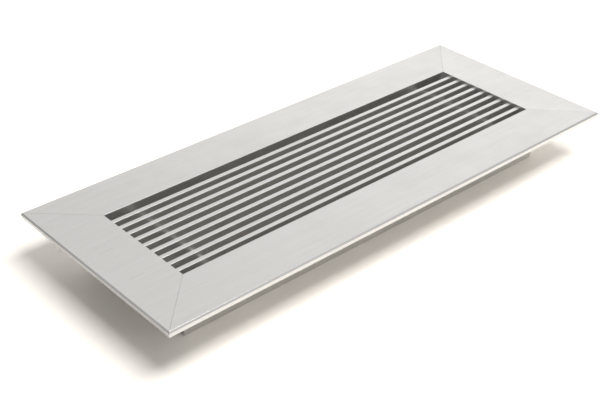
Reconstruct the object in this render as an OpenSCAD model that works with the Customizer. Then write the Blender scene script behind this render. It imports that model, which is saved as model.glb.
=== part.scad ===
// Floor return grille, in millimetres.
// A mitred aluminium frame has a wide face that laps over the floor and a neck that drops into the duct
// opening. Inside it, nine straight bars are half-lapped onto two cross bars. The frame holds their ends.
// +X runs along the bars and +Z is up. The origin is the centre of the neck's lower rim.

/* [Neck] */
// Length of the neck, outside, which drops into the duct opening
neck_l = 350; // [250:1:600]
// Width of the neck, outside
neck_w = 100; // [85:1:160]
// Height of the whole frame, from the rim of the neck to the inner edge of the face
frame_h = 43.5; // [38:0.5:80]
// Thickness of the hollow neck wall, from its outer skin to its inner skin
leg_t = 5.5; // [5:0.1:9]
// Thickness of each skin of the neck wall
leg_skin = 1.4; // [1:0.1:1.8]
// Thickness of the webs that join the two skins
leg_web = 1.5; // [1:0.1:2.5]

/* [Face] */
// How far the face reaches out beyond the neck
overhang = 35; // [28:0.5:60]
// How much lower the outer edge of the face lies than its inner edge
face_fall = 0.75; // [0:0.05:1.5]
// Thickness of the face at its outer edge
face_t = 2.45; // [1.8:0.05:4]
// How far the outer lip hangs below the underside of the face
lip_drop = 2.55; // [2.2:0.05:4]
// Thickness of the outer lip at its foot
lip_t = 2.2; // [1.5:0.1:4]
// Width of the bevel between the face and the nose
bevel_w = 1.0; // [0.4:0.1:2]
// Height of that bevel
bevel_h = 1.3; // [0.5:0.1:2]
// How far the nose draws in from the bevel to its foot
nose_draft = 1.0; // [0:0.1:1.4]
// Radius along the edges of the bevel and of the lip
edge_round = 0.4; // [0.1:0.05:0.5]
// Radius along the inner edge of the face, round the opening
inner_round = 0.25; // [0.1:0.05:0.6]
// Gap left at each mitred corner
mitre_gap = 0.1; // [0:0.02:0.4]

/* [Bars] */
// Thickness of a bar
bar_t = 3.6; // [2:0.1:4.5]
// Height of a bar
bar_h = 20; // [18:0.5:26]
// Radius along the long edges of a bar
bar_round = 0.4; // [0.1:0.05:0.9]
// How far the bars lie below the inner edge of the face
bar_recess = 1.7; // [0.5:0.1:5]
// Width of the air gap between an outermost bar and the neck
side_gap = 6.3; // [4:0.1:9]
// Clearance between the end of a bar and the neck
bar_end_gap = 0.3; // [0.1:0.1:1]

/* [Cross bars] */
// Thickness of a cross bar
cross_t = 2.2; // [1.5:0.1:5]
// Height of a cross bar
cross_h = 12; // [10:0.5:13]
// How far a cross bar lies below the tops of the bars
cross_drop = 6.3; // [5:0.1:7]
// Distance from each end of the opening to the middle of the cross bar there
cross_in = 27; // [10:1:80]
// Height of the tongue at each end of a cross bar
tongue_h = 10; // [5:0.5:10]
// Clearance on each side of a lap joint and of a tongue
lap_gap = 0.1; // [0.05:0.01:0.2]

/* [Corner keys] */
// Length of each arm of a neck key, along its outside
neck_key_arm = 22; // [12:1:32]
// Length of each arm of a face key, along its outside
face_key_arm = 32; // [20:1:40]
// Width of each arm of a face key
face_key_w = 9; // [6:0.5:14]
// Thickness of the ribs that hold the face keys
rib_t = 1.2; // [0.8:0.1:2]
// Thickness of the hooks at the foot of those ribs
hook_t = 0.9; // [0.6:0.05:1.2]
// How far each hook reaches under a face key
hook_reach = 1.2; // [0.6:0.1:2]
// Clearance round each key
key_gap = 0.15; // [0.05:0.01:0.3]
// Length of the lead-in chamfer at the tip of each arm
key_lead = 0.8; // [0.2:0.1:0.9]

/* [Hidden] */

$fn = 48;
cut = 1;         // how far a cutting shape runs past what it cuts
bar_count = 9;
fillet_r = 1;    // inner corner between the neck and the underside of the face
edge_steps = 4;  // flats along a rounded edge of the frame's section

// Plan sizes. The section of the frame is measured outwards from the wall of the opening.
open_l = neck_l - 2 * leg_t;
open_w = neck_w - 2 * leg_t;
face_w = leg_t + overhang;

// Levels of the frame
face_edge_z = frame_h - face_fall;
under_z = face_edge_z - face_t;
foot_z = under_z - lip_drop;

// Channel for the face keys, halfway along the overhang
channel_mid = leg_t + overhang / 2;
channel_w = face_key_w + 2 * key_gap;
face_key_t = lip_drop - hook_t - 2 * key_gap;

// Levels and spacing of the bars
bar_top = frame_h - bar_recess;
bar_pitch = (open_w - 2 * side_gap - bar_t) / (bar_count - 1);

// Levels and places of the cross bars
cross_top = bar_top - cross_drop;
cross_foot = cross_top - cross_h;
lap_z = (cross_top + cross_foot) / 2;
cross_x = open_l / 2 - cross_in;

// Chambers of the neck: the keys sit in the lower one, and the tongues of the cross bars rest on its roof
chamber_in = leg_skin;
chamber_out = leg_t - leg_skin;
key_roof_z = cross_foot - leg_web;
neck_key_t = chamber_out - chamber_in - 2 * key_gap;
neck_key_h = key_roof_z - leg_web - 2 * key_gap;

// Points that round the corner at b with radius r, in an outline that runs anticlockwise from a to c
function corner(a, b, c, r) =
    let (
        back = (a - b) / norm(a - b),
        on = (c - b) / norm(c - b),
        half = acos(back * on) / 2,
        middle = b + (back + on) / norm(back + on) * r / sin(half),
        first = b + back * r / tan(half) - middle,
        start = atan2(first[1], first[0]),
        step = (180 - 2 * half) / edge_steps
    )
    [for (i = [0 : edge_steps]) middle + r * [cos(start + i * step), sin(start + i * step)]];

// Outline with each corner rounded by its own radius. A radius of 0 leaves the corner sharp.
function rounded(points, radii) =
    let (n = len(points))
    [for (i = [0 : n - 1])
        each radii[i] > 0
            ? corner(points[(i + n - 1) % n], points[i], points[(i + 1) % n], radii[i])
            : [points[i]]];

// Face plate with its bevel, its drawn-in nose and the lip behind it
module face_section() {
    points = [
        [0, under_z],
        [face_w - nose_draft - lip_t, under_z],
        [face_w - nose_draft - lip_t, foot_z],
        [face_w - nose_draft, foot_z],
        [face_w, face_edge_z - bevel_h],
        [face_w - bevel_w, face_edge_z],
        [0, frame_h]
    ];
    polygon(rounded(points, [0, 0, edge_round, edge_round, edge_round, edge_round, inner_round]));
}

// Channel under the face that holds the face keys, with a hook along each side of its mouth
module channel_section() {
    translate([channel_mid, 0])
        difference() {
            translate([-channel_w / 2 - rib_t, foot_z])
                square([channel_w + 2 * rib_t, lip_drop + cut / 2]);
            translate([-channel_w / 2, foot_z + hook_t])
                square([channel_w, lip_drop - hook_t]);
            translate([-channel_w / 2 + hook_reach, foot_z - cut])
                square([channel_w - 2 * hook_reach, hook_t + 2 * cut]);
        }
}

// Inner corner fillet, filling the quarter between +x and -y
module fillet_section(radius) {
    difference() {
        translate([-cut / 2, -radius]) square([radius + cut / 2, radius + cut / 2]);
        translate([radius, -radius]) circle(radius);
    }
}

// Hollow wall of the neck: the lower chamber takes the neck keys, the upper one the tongues
module neck_section() {
    difference() {
        union() {
            square([leg_t, under_z + cut / 2]);
            translate([leg_t, under_z]) fillet_section(fillet_r);
        }
        translate([chamber_in, leg_web])
            square([chamber_out - chamber_in, key_roof_z - leg_web]);
        translate([chamber_in, cross_foot])
            square([chamber_out - chamber_in, under_z - cross_foot]);
    }
}

// Whole section of the frame: x runs outwards from the wall of the opening, y is up
module frame_section() {
    face_section();
    channel_section();
    neck_section();
}

// Plan of one rail, cut at 45 degrees at both ends. Its inner edge lies along the x axis.
module mitre_plan(inner_l) {
    back = mitre_gap / 2 * sqrt(2);
    half = inner_l / 2 - back;
    polygon([[-half, 0], [half, 0], [half + face_w, -face_w], [-half - face_w, -face_w]]);
}

// One rail of the frame, with its inner wall on the x axis and its nose towards -y
module rail(inner_l) {
    color("gainsboro")
        intersection() {
            rotate([90, 0, -90])
                linear_extrude(inner_l + 2 * face_w, center = true) frame_section();
            linear_extrude(frame_h + cut) mitre_plan(inner_l);
        }
}

// Openings in the inner skin of a long rail, which take the tongues of the cross bars
module tongue_slots() {
    slot_w = cross_t + 2 * lap_gap;
    for (x = [-cross_x, cross_x])
        translate([x - slot_w / 2, -leg_skin - cut / 4, cross_foot])
            cube([slot_w, leg_skin + cut, tongue_h + lap_gap]);
}

// A rail along the bars, on the front side
module long_rail() {
    translate([0, -open_w / 2, 0])
        difference() {
            rail(open_l);
            tongue_slots();
        }
}

module front_rail() {
    long_rail();
}

module back_rail() {
    rotate([0, 0, 180]) long_rail();
}

module left_rail() {
    translate([-open_l / 2, 0, 0]) rotate([0, 0, -90]) rail(open_w);
}

module right_rail() {
    translate([open_l / 2, 0, 0]) rotate([0, 0, 90]) rail(open_w);
}

// Puts a key at one corner. Its outer corner lies `out` beyond the corner of the opening.
// The turns run from the back right corner, anticlockwise seen from above.
module at_corner(turn, out) {
    sides = [[1, 1], [-1, 1], [-1, -1], [1, -1]];
    translate([sides[turn][0] * (open_l / 2 + out), sides[turn][1] * (open_w / 2 + out), 0])
        rotate([0, 0, 90 * turn]) children();
}

// Plan of a key: two arms with chamfered tips, running to -x and -y from its outer corner
module key_plan(arm, width) {
    lead = min(key_lead, width / 3);
    polygon([
        [0, 0],
        [-arm + lead, 0],
        [-arm, -lead],
        [-arm, -width + lead],
        [-arm + lead, -width],
        [-width, -width],
        [-width, -arm + lead],
        [-width + lead, -arm],
        [-lead, -arm],
        [0, -arm + lead]
    ]);
}

module neck_key(turn) {
    color("silver")
        at_corner(turn, chamber_out - key_gap)
            translate([0, 0, leg_web + key_gap])
                linear_extrude(neck_key_h) key_plan(neck_key_arm, neck_key_t);
}

module face_key(turn) {
    color("silver")
        at_corner(turn, channel_mid + face_key_w / 2)
            translate([0, 0, foot_z + hook_t + key_gap])
                linear_extrude(face_key_t) key_plan(face_key_arm, face_key_w);
}

// Section of a bar: x across it, y up from its lower edge, with all four long edges rounded
module bar_section() {
    flat_w = bar_t - 2 * bar_round;
    translate([-flat_w / 2, 0]) square([flat_w, bar_h]);
    translate([-bar_t / 2, bar_round]) square([bar_t, bar_h - 2 * bar_round]);
    for (x = [-flat_w / 2, flat_w / 2], y = [bar_round, bar_h - bar_round])
        translate([x, y]) circle(bar_round);
}

// Distance of the middle of bar number i, counted from the front, from the middle of the opening
function bar_y(i) = (i - (bar_count + 1) / 2) * bar_pitch;

// Bar number i, notched from below over both cross bars
module bar(i) {
    notch_w = cross_t + 2 * lap_gap;
    color("lightgray")
        translate([0, bar_y(i), 0])
            difference() {
                translate([0, 0, bar_top - bar_h]) rotate([90, 0, 90])
                    linear_extrude(open_l - 2 * bar_end_gap, center = true) bar_section();
                for (x = [-cross_x, cross_x])
                    translate([x - notch_w / 2, -bar_t / 2 - cut, bar_top - bar_h - cut])
                        cube([notch_w, bar_t + 2 * cut, lap_z - bar_top + bar_h + cut]);
            }
}

// Side view of a cross bar: x runs to the back, y is up. Beyond the outermost bars only the tongues go on.
module cross_section() {
    notch_w = bar_t + 2 * lap_gap;
    tongue_out = open_w / 2 + chamber_out - key_gap;
    body_out = bar_y(bar_count);
    difference() {
        union() {
            translate([-tongue_out, cross_foot]) square([2 * tongue_out, tongue_h]);
            translate([-body_out, cross_foot]) square([2 * body_out, cross_h]);
        }
        for (i = [1 : bar_count])
            translate([bar_y(i) - notch_w / 2, lap_z]) square([notch_w, cross_h]);
    }
}

// A cross bar at x, notched from above under every bar
module cross_bar(x) {
    color("darkgray")
        translate([x, 0, 0]) rotate([90, 0, 90])
            linear_extrude(cross_t, center = true) cross_section();
}

front_rail();
back_rail();
left_rail();
right_rail();
neck_key(0);  // neck_key_back_right
neck_key(1);  // neck_key_back_left
neck_key(2);  // neck_key_front_left
neck_key(3);  // neck_key_front_right
face_key(0);  // face_key_back_right
face_key(1);  // face_key_back_left
face_key(2);  // face_key_front_left
face_key(3);  // face_key_front_right
cross_bar(-cross_x);  // cross_bar_left
cross_bar(cross_x);  // cross_bar_right
for (i = [1 : bar_count])
    bar(i);
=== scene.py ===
"""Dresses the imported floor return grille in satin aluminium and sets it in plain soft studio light.

All sizes are in metres, in the grille's own frame: +X runs along the bars, +Z is up, and the neck stands on z = 0.
"""

from __future__ import annotations

import logging
import math
from dataclasses import dataclass, field
from enum import Enum
from typing import Any

import bpy
from mathutils import Matrix, Vector

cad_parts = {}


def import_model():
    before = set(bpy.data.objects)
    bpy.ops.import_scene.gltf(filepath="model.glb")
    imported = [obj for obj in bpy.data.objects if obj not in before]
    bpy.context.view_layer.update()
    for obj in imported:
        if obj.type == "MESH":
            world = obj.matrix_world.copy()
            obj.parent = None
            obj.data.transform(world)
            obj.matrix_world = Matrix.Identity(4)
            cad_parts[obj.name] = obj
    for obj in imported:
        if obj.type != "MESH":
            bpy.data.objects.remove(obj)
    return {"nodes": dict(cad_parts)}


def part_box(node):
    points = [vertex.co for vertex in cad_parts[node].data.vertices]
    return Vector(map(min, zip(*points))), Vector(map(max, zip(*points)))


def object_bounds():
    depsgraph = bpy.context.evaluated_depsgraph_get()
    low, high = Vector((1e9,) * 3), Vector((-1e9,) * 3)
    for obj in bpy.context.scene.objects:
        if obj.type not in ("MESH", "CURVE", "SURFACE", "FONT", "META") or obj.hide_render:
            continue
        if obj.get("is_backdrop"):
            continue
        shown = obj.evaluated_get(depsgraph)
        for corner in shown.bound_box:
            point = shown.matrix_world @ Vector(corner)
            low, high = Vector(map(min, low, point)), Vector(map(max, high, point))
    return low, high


MM = 0.001
log = logging.getLogger("floor_grille")


class Grain(Enum):
    """The row axis that a piece was extruded or sawn along."""

    ALONG_X = 0.0
    ALONG_Y = 90.0


class Mark(Enum):
    """What a mark in the metal, or a painted highlight, looks like, as its colour."""

    RUBBED = (0.95, 0.948, 0.94)
    DARK = (0.3, 0.3, 0.29)
    # A pale matt patch painted at the back-right inner mitre: a painted highlight for the bright line there.
    PAINTED_HIGHLIGHT = (0.78, 0.77, 0.75)
    # Sawn cross bar ends, also a painted highlight: pale and matt where light catches them beside the walls.
    SAWN_AND_PAINTED_HIGHLIGHT = (0.96, 0.955, 0.945)


class NodeBoard:
    """Adds and links the nodes of one shader tree."""

    def __init__(self, tree: bpy.types.NodeTree) -> None:
        """Takes the tree to draw on.

        Args:
            tree: The tree of a material, a world or a node group.
        """
        self.tree = tree

    def add(self, kind: str, inputs: dict[Any, Any] | None = None, **settings: Any) -> bpy.types.Node:
        """Adds one node, sets its properties and fills or links its inputs.

        Args:
            kind: Blender's name for the node's type.
            inputs: What goes into each input, by name or number: a socket to link, or a plain value.
            settings: Properties of the node itself.

        Returns:
            The new node.
        """
        node = self.tree.nodes.new(kind)
        for name, value in settings.items():
            setattr(node, name, value)
        for socket, value in (inputs or {}).items():
            self.feed(node.inputs[socket], value)
        return node

    def feed(self, socket: bpy.types.NodeSocket, value: Any) -> None:
        """Links a socket into an input, or writes a plain value there.

        Args:
            socket: The input.
            value: An output socket, or the value to write.
        """
        if isinstance(value, bpy.types.NodeSocket):
            self.tree.links.new(value, socket)
        else:
            socket.default_value = value

    def math(self, operation: str, *terms: Any, clamp: bool = False) -> bpy.types.NodeSocket:
        """Works out one arithmetic step on values.

        Args:
            operation: Blender's name for the step.
            terms: Sockets or numbers, in order.
            clamp: Whether the result is held between 0 and 1.

        Returns:
            The socket that holds the result.
        """
        node = self.add("ShaderNodeMath", dict(enumerate(terms)), operation=operation, use_clamp=clamp)
        return node.outputs[0]

    def vector(self, operation: str, *terms: Any) -> bpy.types.NodeSocket:
        """Works out one step on vectors.

        Args:
            operation: Blender's name for the step.
            terms: Sockets or triples, in order.

        Returns:
            The socket that holds the result.
        """
        node = self.add("ShaderNodeVectorMath", dict(enumerate(terms)), operation=operation)
        return node.outputs["Value" if operation in ("DOT_PRODUCT", "LENGTH") else "Vector"]

    def fade(self, value: Any, low: Any, high: Any, start: float = 0.0, end: float = 1.0) -> bpy.types.NodeSocket:
        """Turns a value smoothly from start to end between two limits.

        Args:
            value: The value to read.
            low: Where the result starts to change.
            high: Where it stops changing.
            start: The result at and below low.
            end: The result at and above high.

        Returns:
            The socket that holds the result.
        """
        inputs = {"Value": value, "From Min": low, "From Max": high, "To Min": start, "To Max": end}
        return self.add("ShaderNodeMapRange", inputs, interpolation_type="SMOOTHSTEP").outputs["Result"]

    def noise(self, place: Any, detail: float = 2.0, roughness: float = 0.55) -> bpy.types.NodeSocket:
        """Reads a noise pattern at unit scale.

        Args:
            place: Where to read it, as a vector that is already scaled.
            detail: How many finer layers are added.
            roughness: How strong those layers are.

        Returns:
            The socket with a value of about 0.5, from 0 to 1.
        """
        inputs = {"Vector": place, "Scale": 1.0, "Detail": detail, "Roughness": roughness}
        return self.add("ShaderNodeTexNoise", inputs).outputs[0]

    def blend(self, mask: Any, below: Any, above: Any) -> bpy.types.NodeSocket:
        """Mixes two values by a mask.

        Args:
            mask: 0 gives below and 1 gives above.
            below: The first value.
            above: The second value.

        Returns:
            The socket that holds the result.
        """
        node = self.add("ShaderNodeMix", {0: mask, 2: below, 3: above}, data_type="FLOAT")
        return node.outputs[0]

    def tint(self, mask: Any, below: Any, above: Any) -> bpy.types.NodeSocket:
        """Mixes two colours by a mask.

        Args:
            mask: 0 gives below and 1 gives above.
            below: The first colour.
            above: The second colour.

        Returns:
            The socket that holds the colour.
        """
        node = self.add("ShaderNodeMix", {0: mask, 6: below, 7: above}, data_type="RGBA")
        return node.outputs[2]


class Effect:
    """A shader node group that several finishes share. It is built once and placed with its own values."""

    name = "effect"
    inputs: tuple[tuple[str, str], ...] = ()
    outputs: tuple[str, ...] = ()

    def tree(self) -> bpy.types.NodeTree:
        """Returns the group's tree, and builds it the first time."""
        found = bpy.data.node_groups.get(self.name)
        if found is not None:
            return found
        tree = bpy.data.node_groups.new(self.name, "ShaderNodeTree")
        for label, kind in self.inputs:
            tree.interface.new_socket(name=label, in_out="INPUT", socket_type=kind)
        for label in self.outputs:
            tree.interface.new_socket(name=label, in_out="OUTPUT", socket_type="NodeSocketFloat")
        board = NodeBoard(tree)
        given = tree.nodes.new("NodeGroupInput").outputs
        result = tree.nodes.new("NodeGroupOutput")
        for label, socket in self.draw(board, given).items():
            tree.links.new(socket, result.inputs[label])
        return tree

    def draw(self, board: NodeBoard, given: Any) -> dict[str, bpy.types.NodeSocket]:
        """Draws the group's inside.

        Args:
            board: The board of the group's tree.
            given: The group's inputs, by name.

        Returns:
            The socket that feeds each output.
        """
        raise NotImplementedError

    def place(self, board: NodeBoard, **values: Any) -> Any:
        """Places the group in a finish.

        Args:
            board: The finish's board.
            values: A socket or number for each input. Underscores stand for spaces in its name.

        Returns:
            The placed node's outputs, by name.
        """
        node = board.add("ShaderNodeGroup", node_tree=self.tree())
        for label, value in values.items():
            board.feed(node.inputs[label.replace("_", " ").capitalize()], value)
        return node.outputs


class Streaks(Effect):
    """Fine lines along local X, as a brush or an extrusion die leaves them."""

    name = "streaks"
    inputs = (
        ("Place", "NodeSocketVector"),
        ("Length", "NodeSocketFloat"),
        ("Width", "NodeSocketFloat"),
    )
    outputs = ("Height", "Tone")

    def draw(self, board: NodeBoard, given: Any) -> dict[str, bpy.types.NodeSocket]:
        """Layers two stretched noises, the finer one a third as wide.

        Args:
            board: The board of the group's tree.
            given: The place, and the length and width of a line in metres.

        Returns:
            Height, the fine relief, and Tone, a broader drift in brightness.
        """
        length, width = given["Length"], given["Width"]
        cell = board.add("ShaderNodeCombineXYZ", {0: length, 1: width, 2: width}).outputs[0]
        coarse = board.noise(board.vector("DIVIDE", given["Place"], cell), detail=3.0)
        thin = board.vector("MULTIPLY", cell, (0.45, 0.33, 0.33))
        fine = board.noise(board.vector("DIVIDE", given["Place"], thin), detail=2.0, roughness=0.7)
        wide = board.vector("MULTIPLY", cell, (3.0, 9.0, 9.0))
        drift = board.noise(board.vector("DIVIDE", given["Place"], wide), detail=2.0)
        both = board.math("MULTIPLY_ADD", fine, 0.5, board.math("MULTIPLY", coarse, 0.5))
        return {"Height": both, "Tone": board.math("MULTIPLY_ADD", drift, 0.6, board.math("MULTIPLY", coarse, 0.4))}


class Hairlines(Effect):
    """Sparse thin scratches that lie roughly along local X."""

    name = "hairlines"
    inputs = (
        ("Place", "NodeSocketVector"),
        ("Length", "NodeSocketFloat"),
        ("Width", "NodeSocketFloat"),
        ("Rarity", "NodeSocketFloat"),
    )
    outputs = ("Mask",)

    def draw(self, board: NodeBoard, given: Any) -> dict[str, bpy.types.NodeSocket]:
        """Keeps only the crests of a stretched noise, and breaks them up with a broad one.

        Args:
            board: The board of the group's tree.
            given: The place, a scratch's length and width in metres, and how rare they are, up to 1.

        Returns:
            Mask, 1 in a scratch.
        """
        cell = board.add("ShaderNodeCombineXYZ", {0: given["Length"], 1: given["Width"], 2: 1.0}).outputs[0]
        bent = board.add("ShaderNodeVectorRotate", {"Vector": given["Place"], "Angle": math.radians(4.0)},
                         rotation_type="Z_AXIS").outputs[0]
        lines = board.noise(board.vector("DIVIDE", bent, cell), detail=1.0)
        patches = board.noise(board.vector("DIVIDE", given["Place"], (0.03, 0.012, 0.03)), detail=1.0)
        crest = board.fade(lines, given["Rarity"], board.math("ADD", given["Rarity"], 0.06))
        return {"Mask": board.math("MULTIPLY", crest, board.fade(patches, 0.45, 0.62))}


class Handling(Effect):
    """Broad soft patches where hands and air have dulled the metal a little."""

    name = "handling"
    inputs = (("Place", "NodeSocketVector"), ("Patch", "NodeSocketFloat"))
    outputs = ("Mask",)

    def draw(self, board: NodeBoard, given: Any) -> dict[str, bpy.types.NodeSocket]:
        """Reads one broad noise.

        Args:
            board: The board of the group's tree.
            given: The place, and the width of a patch in metres.

        Returns:
            Mask, from 0 to 1 over the patches.
        """
        spread = board.vector("DIVIDE", given["Place"], given["Patch"])
        return {"Mask": board.fade(board.noise(spread, detail=3.0, roughness=0.6), 0.35, 0.7)}


class MitreLine(Effect):
    """The joint line where two rails meet at 45 degrees."""

    name = "mitre_line"
    inputs = (
        ("Place", "NodeSocketVector"),
        ("Half length", "NodeSocketFloat"),
        ("Half width", "NodeSocketFloat"),
        ("Reach", "NodeSocketFloat"),
    )
    outputs = ("Mask",)

    def draw(self, board: NodeBoard, given: Any) -> dict[str, bpy.types.NodeSocket]:
        """Measures how far a point lies from the mitre plane of its corner.

        Args:
            board: The board of the group's tree.
            given: The place, half the opening's length and width, and the line's half width, all in metres.

        Returns:
            Mask, 1 on the joint and 0 beyond its reach, broken up along its length.
        """
        parts = board.add("ShaderNodeSeparateXYZ", {0: given["Place"]}).outputs
        out_x = board.math("SUBTRACT", board.math("ABSOLUTE", parts[0]), given["Half length"])
        out_y = board.math("SUBTRACT", board.math("ABSOLUTE", parts[1]), given["Half width"])
        off = board.math("ABSOLUTE", board.math("SUBTRACT", out_x, out_y))
        line = board.fade(off, 0.0, given["Reach"], 1.0, 0.0)
        uneven = board.noise(board.vector("DIVIDE", given["Place"], (0.012, 0.012, 0.012)), detail=1.0)
        return {"Mask": board.math("MULTIPLY", line, board.fade(uneven, 0.3, 0.65, 0.25, 1.0))}


class Nick(Effect):
    """One straight mark of a given length and width."""

    name = "nick"
    inputs = (
        ("Place", "NodeSocketVector"),
        ("Middle", "NodeSocketVector"),
        ("Turn", "NodeSocketFloat"),
        ("Half length", "NodeSocketFloat"),
        ("Half width", "NodeSocketFloat"),
    )
    outputs = ("Mask",)

    def draw(self, board: NodeBoard, given: Any) -> dict[str, bpy.types.NodeSocket]:
        """Measures the distance from the mark's middle line.

        Args:
            board: The board of the group's tree.
            given: The place, the mark's middle, its turn from +X in radians, and its half length and half width.

        Returns:
            Mask, 1 on the mark's middle line, fading to 0 at its sides and ends.
        """
        local = board.vector("SUBTRACT", given["Place"], given["Middle"])
        turned = board.add("ShaderNodeVectorRotate", {"Vector": local, "Angle": given["Turn"]},
                           rotation_type="Z_AXIS", invert=True).outputs[0]
        parts = board.add("ShaderNodeSeparateXYZ", {0: turned}).outputs
        along = board.math("DIVIDE", board.math("ABSOLUTE", parts[0]), given["Half length"])
        across = board.math("DIVIDE", board.math("ABSOLUTE", parts[1]), given["Half width"])
        return {"Mask": board.math("MULTIPLY", board.fade(along, 0.4, 1.0, 1.0, 0.0),
                                   board.fade(across, 0.2, 1.0, 1.0, 0.0))}


@dataclass(frozen=True)
class Scuff:
    """One mark in the metal, or a painted highlight, at a place on a piece."""

    x: float
    y: float
    length: float
    width: float
    turn: float = 0.0
    depth: float = 0.5
    mark: Mark = Mark.DARK


@dataclass(frozen=True)
class Metal:
    """Bare aluminium with lines along the piece, dull patches, fine scratches and painted shade on its sides."""

    name: str
    colour: tuple[float, float, float]
    dull_colour: tuple[float, float, float]
    roughness: float
    grain: Grain = Grain.ALONG_X
    streak_length: float = 60 * MM
    streak_width: float = 0.5 * MM
    relief: float = 0.012 * MM
    scratches: float = 0.25
    line_contrast: float = 1.6
    # Painted shade: how far the sides are darkened, 1 for none.
    side_painted_shade: float = 1.0
    side_roughness: float = 0.0
    metallic: float = 1.0
    seed: float = 0.0
    scuffs: tuple[Scuff, ...] = ()

    def material(self) -> bpy.types.Material:
        """Builds the material.

        Returns:
            The new material.
        """
        made = bpy.data.materials.new(self.name)
        made.use_nodes = True
        made.node_tree.nodes.clear()
        board = NodeBoard(made.node_tree)
        place = board.add("ShaderNodeTexCoord").outputs["Object"]
        shader = board.add("ShaderNodeBsdfPrincipled")
        self.paint(board, shader, place)
        board.add("ShaderNodeOutputMaterial", {"Surface": shader.outputs[0]})
        return made

    def drawn(self, board: NodeBoard, place: Any, grain: Grain) -> bpy.types.NodeSocket:
        """Turns a place so that local X runs along the grain, and shifts it by the piece's seed.

        Args:
            board: The finish's board.
            place: The place on the piece.
            grain: The direction of the lines.

        Returns:
            The turned place.
        """
        shift = board.vector("ADD", place, (self.seed * 0.37, self.seed * 0.11, self.seed * 0.23))
        inputs = {"Vector": shift, "Angle": math.radians(-grain.value)}
        return board.add("ShaderNodeVectorRotate", inputs, rotation_type="Z_AXIS").outputs[0]

    def paint(self, board: NodeBoard, shader: bpy.types.Node, place: Any) -> None:
        """Links the lines, patches and scratches into the shader.

        Args:
            board: The finish's board.
            shader: The Principled node.
            place: The place on the piece.
        """
        drawn = self.drawn(board, place, self.grain)
        lines = Streaks().place(board, place=drawn, length=self.streak_length, width=self.streak_width)
        self.finish(board, shader, place, drawn, lines["Height"], lines["Tone"])

    def upward(self, board: NodeBoard) -> bpy.types.NodeSocket:
        """Returns 1 where the surface faces up and 0 on its sides."""
        normal = board.add("ShaderNodeNewGeometry").outputs["Normal"]
        return board.fade(board.add("ShaderNodeSeparateXYZ", {0: normal}).outputs[2], 0.9, 0.98)

    def finish(self, board: NodeBoard, shader: bpy.types.Node, place: Any, drawn: Any, height: Any,
               tone: Any) -> None:
        """Adds patches, scratches and scuffs to the lines, darkens the sides with painted shade, and feeds the shader.

        Args:
            board: The finish's board.
            shader: The Principled node.
            place: The place on the piece.
            drawn: The same place, turned along the grain.
            height: The relief of the lines.
            tone: Their slow drift in brightness.
        """
        side = board.math("SUBTRACT", 1.0, self.upward(board))
        wear = Handling().place(board, place=drawn, patch=45 * MM)
        scratch = Hairlines().place(board, place=drawn, length=22 * MM, width=0.35 * MM, rarity=0.66)["Mask"]
        dull = board.math("MULTIPLY_ADD", board.math("SUBTRACT", tone, 0.5), 0.9,
                          board.math("MULTIPLY", wear["Mask"], 0.35))
        dull = board.math("MULTIPLY_ADD", board.math("SUBTRACT", height, 0.45), self.line_contrast, dull, clamp=True)
        colour = board.tint(dull, (*self.colour, 1.0), (*self.dull_colour, 1.0))
        scratch = board.math("MULTIPLY", scratch, self.scratches)
        colour = board.tint(scratch, colour, (0.62, 0.62, 0.61, 1.0))
        # Painted shade: every face that does not face up is darkened by this factor, set per rail.
        colour = board.vector("MULTIPLY", colour, board.blend(side, 1.0, self.side_painted_shade))
        metal: Any = self.metallic
        for scuff in self.scuffs:
            mask = self.mask_of(board, place, scuff)
            colour = board.tint(mask, colour, (*scuff.mark.value, 1.0))
            # The painted highlight patches are made matt and pale, so the lamps make them bright.
            if scuff.mark in (Mark.PAINTED_HIGHLIGHT, Mark.SAWN_AND_PAINTED_HIGHLIGHT):
                metal = board.blend(mask, metal, 0.0)
        rough = board.math("MULTIPLY_ADD", board.math("SUBTRACT", height, 0.5), 0.18, self.roughness)
        rough = board.math("MULTIPLY_ADD", side, self.side_roughness, rough)
        rough = board.math("MULTIPLY_ADD", wear["Mask"], 0.05, rough, clamp=True)
        lifted = board.math("SUBTRACT", height, board.math("MULTIPLY", scratch, 0.8))
        bump = board.add("ShaderNodeBump", {"Strength": 1.0, "Distance": self.relief, "Height": lifted})
        board.feed(shader.inputs["Base Color"], colour)
        board.feed(shader.inputs["Metallic"], metal)
        board.feed(shader.inputs["Roughness"], rough)
        board.feed(shader.inputs["Normal"], bump.outputs[0])

    def mask_of(self, board: NodeBoard, place: Any, scuff: Scuff) -> bpy.types.NodeSocket:
        """Draws one mark's mask.

        Args:
            board: The finish's board.
            place: The place on the piece.
            scuff: The mark.

        Returns:
            The mask, up to the mark's depth.
        """
        mask = Nick().place(board, place=place, middle=(scuff.x, scuff.y, 0.0), turn=scuff.turn,
                            half_length=scuff.length / 2, half_width=scuff.width / 2)["Mask"]
        return board.math("MULTIPLY", mask, scuff.depth)


@dataclass(frozen=True)
class BrushedRail(Metal):
    """A rail whose face was brushed along X after assembly, and whose other sides keep the die's lines."""

    half_length: float = 0.17
    half_width: float = 0.045

    def paint(self, board: NodeBoard, shader: bpy.types.Node, place: Any) -> None:
        """Brushes the face and leaves die lines elsewhere, then darkens the mitre joints.

        Args:
            board: The finish's board.
            shader: The Principled node.
            place: The place on the rail.
        """
        face = self.upward(board)
        brushed = self.drawn(board, place, Grain.ALONG_X)
        drawn = self.drawn(board, place, self.grain)
        brush = Streaks().place(board, place=brushed, length=self.streak_length, width=self.streak_width)
        die = Streaks().place(board, place=drawn, length=2.0, width=0.8 * MM)
        height = board.blend(face, die["Height"], brush["Height"])
        tone = board.blend(face, die["Tone"], brush["Tone"])
        joint = MitreLine().place(board, place=place, half_length=self.half_length, half_width=self.half_width,
                                  reach=0.35 * MM)["Mask"]
        tone = board.math("MULTIPLY_ADD", joint, 0.9, tone)
        self.finish(board, shader, place, brushed, height, tone)


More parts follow.
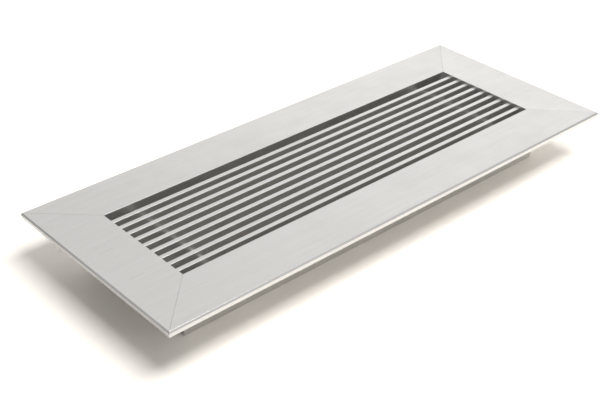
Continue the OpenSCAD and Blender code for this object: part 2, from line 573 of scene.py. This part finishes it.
@dataclass
class Rails:
    """The four mitred rails of the frame."""

    opening: tuple[float, float]
    colour: tuple[float, float, float] = (0.84, 0.835, 0.825)
    dull_colour: tuple[float, float, float] = (0.74, 0.735, 0.725)
    roughness: float = 0.36
    names: dict[str, Grain] = field(default_factory=lambda: {
        "front_rail": Grain.ALONG_X,
        "back_rail": Grain.ALONG_X,
        "left_rail": Grain.ALONG_Y,
        "right_rail": Grain.ALONG_Y,
    })
    # Painted shade on the sides, strongest on the left rail's nose.
    side_painted_shades: dict[str, float] = field(default_factory=lambda: {"front_rail": 0.88, "left_rail": 0.68})
    scuffs: dict[str, tuple[Scuff, ...]] = field(default_factory=lambda: {
        "front_rail": (
            Scuff(x=-149 * MM, y=-74.3 * MM, length=38 * MM, width=0.5 * MM, depth=0.25, mark=Mark.RUBBED),
            Scuff(x=-31.5 * MM, y=-66.4 * MM, length=139 * MM, width=0.5 * MM, depth=0.2, mark=Mark.RUBBED),
        ),
        "back_rail": (
            # Painted highlight: a pale matt patch on the back-right inner mitre.
            Scuff(x=168.2 * MM, y=44.5 * MM, length=0.8 * MM, width=3 * MM, depth=0.8, mark=Mark.PAINTED_HIGHLIGHT),
        ),
        "left_rail": (
            Scuff(x=-192.2 * MM, y=-26.9 * MM, length=14.7 * MM, width=0.6 * MM, depth=0.3),
            Scuff(x=-192.2 * MM, y=8.4 * MM, length=14.7 * MM, width=0.5 * MM, depth=0.25),
            Scuff(x=-192.2 * MM, y=14.7 * MM, length=14.7 * MM, width=0.5 * MM, depth=0.25),
        ),
    })

    def dress(self, nodes: dict[str, bpy.types.Object]) -> None:
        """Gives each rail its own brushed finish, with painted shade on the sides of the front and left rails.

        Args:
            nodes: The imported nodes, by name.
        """
        for turn, (name, grain) in enumerate(self.names.items()):
            finish = BrushedRail(name=f"brushed_{name}", colour=self.colour, dull_colour=self.dull_colour,
                                 roughness=self.roughness, grain=grain, seed=float(turn),
                                 side_painted_shade=self.side_painted_shades.get(name, 1.0), side_roughness=-0.06,
                                 scuffs=self.scuffs.get(name, ()),
                                 half_length=self.opening[0] / 2, half_width=self.opening[1] / 2)
            wear(nodes[name], finish.material())


@dataclass
class BarCore:
    """The straight bars and the cross bars that carry them."""

    count: int = 9
    cross_bars: tuple[str, ...] = ("cross_bar_left", "cross_bar_right")
    nicked: tuple[int, ...] = (6, 8, 9)
    nick_x: float = -138 * MM
    pitch: float = 9.1 * MM
    cross_x: float = 142.5 * MM
    tongue_y: float = 44 * MM

    def dress(self, nodes: dict[str, bpy.types.Object]) -> None:
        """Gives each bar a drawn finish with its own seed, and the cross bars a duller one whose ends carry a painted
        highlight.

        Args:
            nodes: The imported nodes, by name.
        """
        for number in range(1, self.count + 1):
            middle = (number - (self.count + 1) / 2) * self.pitch
            nick = Scuff(x=self.nick_x, y=middle, length=1.2 * MM, width=2.2 * MM, depth=0.45)
            finish = Metal(name=f"drawn_bar_{number}", colour=(0.83, 0.822, 0.808), dull_colour=(0.73, 0.722, 0.708),
                           roughness=0.3, side_roughness=0.0, metallic=0.925, streak_length=0.12,
                           streak_width=0.35 * MM, seed=10.0 + number,
                           scuffs=(nick,) if number in self.nicked else ())
            wear(nodes[f"bar_{number}"], finish.material())
        for turn, name in enumerate(self.cross_bars):
            middle = (2 * turn - 1) * self.cross_x
            # Both ends are sawn metal with a painted highlight, pale and matt beside the walls.
            ends = tuple(Scuff(x=middle, y=side * self.tongue_y, length=12 * MM, width=14 * MM, depth=1.0,
                               mark=Mark.SAWN_AND_PAINTED_HIGHLIGHT) for side in (-1, 1))
            finish = Metal(name=f"mill_{name}", colour=(0.62, 0.615, 0.605), dull_colour=(0.52, 0.515, 0.505),
                           roughness=0.42, metallic=0.35, grain=Grain.ALONG_Y, seed=30.0 + turn, scuffs=ends)
            wear(nodes[name], finish.material())


@dataclass
class CornerKeys:
    """The cast angle keys in the neck wall and under the face."""

    kinds: tuple[str, ...] = ("neck_key", "face_key")
    corners: tuple[str, ...] = ("back_right", "back_left", "front_left", "front_right")

    def dress(self, nodes: dict[str, bpy.types.Object]) -> None:
        """Gives every key the same dull cast finish.

        Args:
            nodes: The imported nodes, by name.
        """
        finish = Metal(name="cast_key", colour=(0.7, 0.7, 0.69), dull_colour=(0.56, 0.56, 0.55), roughness=0.55,
                       streak_length=1.2 * MM, streak_width=1.0 * MM, relief=0.05 * MM, seed=50.0)
        made = finish.material()
        for kind in self.kinds:
            for corner in self.corners:
                wear(nodes[f"{kind}_{corner}"], made)


def wear(piece: bpy.types.Object, material: bpy.types.Material) -> None:
    """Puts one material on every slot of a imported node.

    Args:
        piece: The node's object.
        material: The material that it gets.
    """
    if not piece.material_slots:
        raise ValueError(f"{piece.name} has no material slot")
    for held in piece.material_slots:
        held.material = material
    log.info("%s wears %s", piece.name, material.name)


@dataclass(frozen=True)
class Panel:
    """A round pale patch of the studio's walls that adds to their level."""

    azimuth: float
    elevation: float
    inner: float
    outer: float
    level: float

    def way(self) -> Vector:
        """Returns the direction of the patch's middle, as a unit vector."""
        turn, tilt = math.radians(self.azimuth), math.radians(self.elevation)
        return Vector((math.cos(turn) * math.cos(tilt), math.sin(turn) * math.cos(tilt), math.sin(tilt)))

    def draw(self, board: NodeBoard, way: Any) -> bpy.types.NodeSocket:
        """Draws the patch.

        Args:
            board: The world's board.
            way: The direction that is looked in.

        Returns:
            The patch's level, which fades from its inner to its outer edge.
        """
        toward = board.vector("DOT_PRODUCT", way, tuple(self.way()))
        edges = math.cos(math.radians(self.outer)), math.cos(math.radians(self.inner))
        return board.fade(toward, *edges, 0.0, self.level)


@dataclass
class Studio:
    """A pale warm floor, a soft lamp overhead and a pale room that is darker on the left."""

    floor_size: float = 12.0
    floor_colour: tuple[float, float, float] = (0.86, 0.832, 0.795)
    floor_gain: float = 0.4
    left_wall: float = 0.18
    right_wall: float = 0.62
    wall_turn: tuple[float, float] = (-0.6, 0.5)
    panels: tuple[Panel, ...] = (
        Panel(azimuth=31.0, elevation=2.0, inner=18.0, outer=42.0, level=0.6),
        Panel(azimuth=137.0, elevation=17.0, inner=5.0, outer=16.0, level=0.7),
        Panel(azimuth=95.0, elevation=51.0, inner=8.0, outer=24.0, level=0.6),
    )

    def build(self) -> None:
        """Makes the floor, the lamp and the room."""
        self.floor()
        self.softbox("overhead", place=(0.05, -0.8, 1.95), aim=(0.0, 0.0, 0.0), size=(1.15, 0.7), power=32.0)
        self.room()

    def floor(self) -> None:
        """Lays the floor under the neck. The camera and glossy surfaces see its colour brighter than the light does."""
        bpy.ops.mesh.primitive_plane_add(size=self.floor_size, location=(0.0, 0.0, 0.0))
        ground = bpy.context.object
        ground.name = "studio_floor"
        made = bpy.data.materials.new("pale_floor")
        made.use_nodes = True
        made.node_tree.nodes.clear()
        board = NodeBoard(made.node_tree)
        path = board.add("ShaderNodeLightPath").outputs
        seen = board.math("MAXIMUM", path["Is Camera Ray"], path["Is Glossy Ray"])
        level = board.math("MULTIPLY_ADD", seen, self.floor_gain, 1.0)
        matt = board.add("ShaderNodeBsdfDiffuse", {"Color": board.vector("MULTIPLY", self.floor_colour, level)})
        board.add("ShaderNodeOutputMaterial", {"Surface": matt.outputs[0]})
        ground.data.materials.append(made)
        ground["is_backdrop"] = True

    def softbox(self, name: str, place: tuple[float, float, float], aim: tuple[float, float, float],
                size: tuple[float, float], power: float) -> None:
        """Hangs one rectangular area lamp.

        Args:
            name: The lamp's name.
            place: Where it hangs.
            aim: The point it faces.
            size: Its length along X and its width.
            power: Its power in watts.
        """
        lamp = bpy.data.lights.new(name, "AREA")
        lamp.shape = "RECTANGLE"
        lamp.size, lamp.size_y = size
        lamp.energy = power
        lamp.color = (1.0, 0.985, 0.965)
        hung = bpy.data.objects.new(name, lamp)
        hung.location = place
        hung.rotation_euler = (Vector(place) - Vector(aim)).to_track_quat("Z", "Y").to_euler()
        bpy.context.scene.collection.objects.link(hung)

    def room(self) -> None:
        """Fills the room with pale light, a level that turns from left to right, and shows it as white."""
        world = bpy.data.worlds.new("pale_room")
        world.use_nodes = True
        world.node_tree.nodes.clear()
        board = NodeBoard(world.node_tree)
        way = board.add("ShaderNodeTexCoord").outputs["Generated"]
        right = board.add("ShaderNodeSeparateXYZ", {0: way}).outputs[0]
        level = board.fade(right, *self.wall_turn, self.left_wall, self.right_wall)
        for panel in self.panels:
            level = board.math("ADD", level, panel.draw(board, way))
        path = board.add("ShaderNodeLightPath").outputs
        light = board.add("ShaderNodeBackground", {"Color": (1.0, 0.99, 0.975, 1.0), "Strength": level})
        white = board.add("ShaderNodeBackground", {"Color": (1.0, 1.0, 1.0, 1.0), "Strength": 1.0})
        both = board.add("ShaderNodeMixShader", {0: path["Is Camera Ray"], 1: light.outputs[0], 2: white.outputs[0]})
        board.add("ShaderNodeOutputWorld", {"Surface": both.outputs[0]})
        bpy.context.scene.world = world
        bpy.context.scene.view_settings.view_transform = "Standard"


@dataclass
class Viewpoint:
    """The camera, at the photograph's angle."""

    length: float
    face_height: float
    azimuth: float = -42.1238
    elevation: float = 32.3919
    roll: float = 0.7028
    distance: float = 1.8677
    target: tuple[float, float] = (-0.1319, -0.0681)
    focal_pixels: float = 1133.7
    picture_width: float = 604.0
    sensor: float = 36.0

    def build(self) -> None:
        """Makes the camera. Its distance and target are shares of the grille's length, at the height of the face."""
        turn, tilt, roll = (math.radians(v) for v in (self.azimuth, self.elevation, self.roll))
        back = Vector((math.sin(turn) * math.cos(tilt), -math.cos(turn) * math.cos(tilt), math.sin(tilt)))
        aim = Vector((self.target[0] * self.length, self.target[1] * self.length, self.face_height))
        right = (-back).cross(Vector((0.0, 0.0, 1.0))).normalized()
        up = right.cross(-back)
        rolled_right = right * math.cos(roll) + up * math.sin(roll)
        rolled_up = up * math.cos(roll) - right * math.sin(roll)
        axes = Matrix((rolled_right, rolled_up, back)).transposed().to_4x4()
        lens = bpy.data.cameras.new("photo_camera")
        lens.sensor_fit = "HORIZONTAL"
        lens.sensor_width = self.sensor
        lens.lens = self.focal_pixels / self.picture_width * self.sensor
        lens.clip_start = 0.01
        camera = bpy.data.objects.new("photo_camera", lens)
        camera.matrix_world = Matrix.Translation(aim + back * self.distance * self.length) @ axes
        bpy.context.scene.collection.objects.link(camera)
        bpy.context.scene.camera = camera


def opening_size() -> tuple[float, float]:
    """Reads the opening's length and width off the inner sides of two rails.

    Returns:
        Both sizes in metres.
    """
    left_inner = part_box("left_rail")[1][0]
    front_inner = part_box("front_rail")[1][1]
    return -2 * left_inner, -2 * front_inner


def main() -> None:
    """Dresses the grille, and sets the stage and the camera."""
    logging.basicConfig(level=logging.INFO, format="%(name)s: %(message)s")
    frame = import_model()
    cad_box = [list(map(float, corner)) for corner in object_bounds()]
    opening = opening_size()
    log.info("the opening measures %.4f by %.4f", *opening)
    low, high = cad_box
    Rails(opening=opening).dress(frame["nodes"])
    BarCore().dress(frame["nodes"])
    CornerKeys().dress(frame["nodes"])
    Studio().build()
    Viewpoint(length=high[0] - low[0], face_height=high[2]).build()


if __name__ == "__main__":
    main()
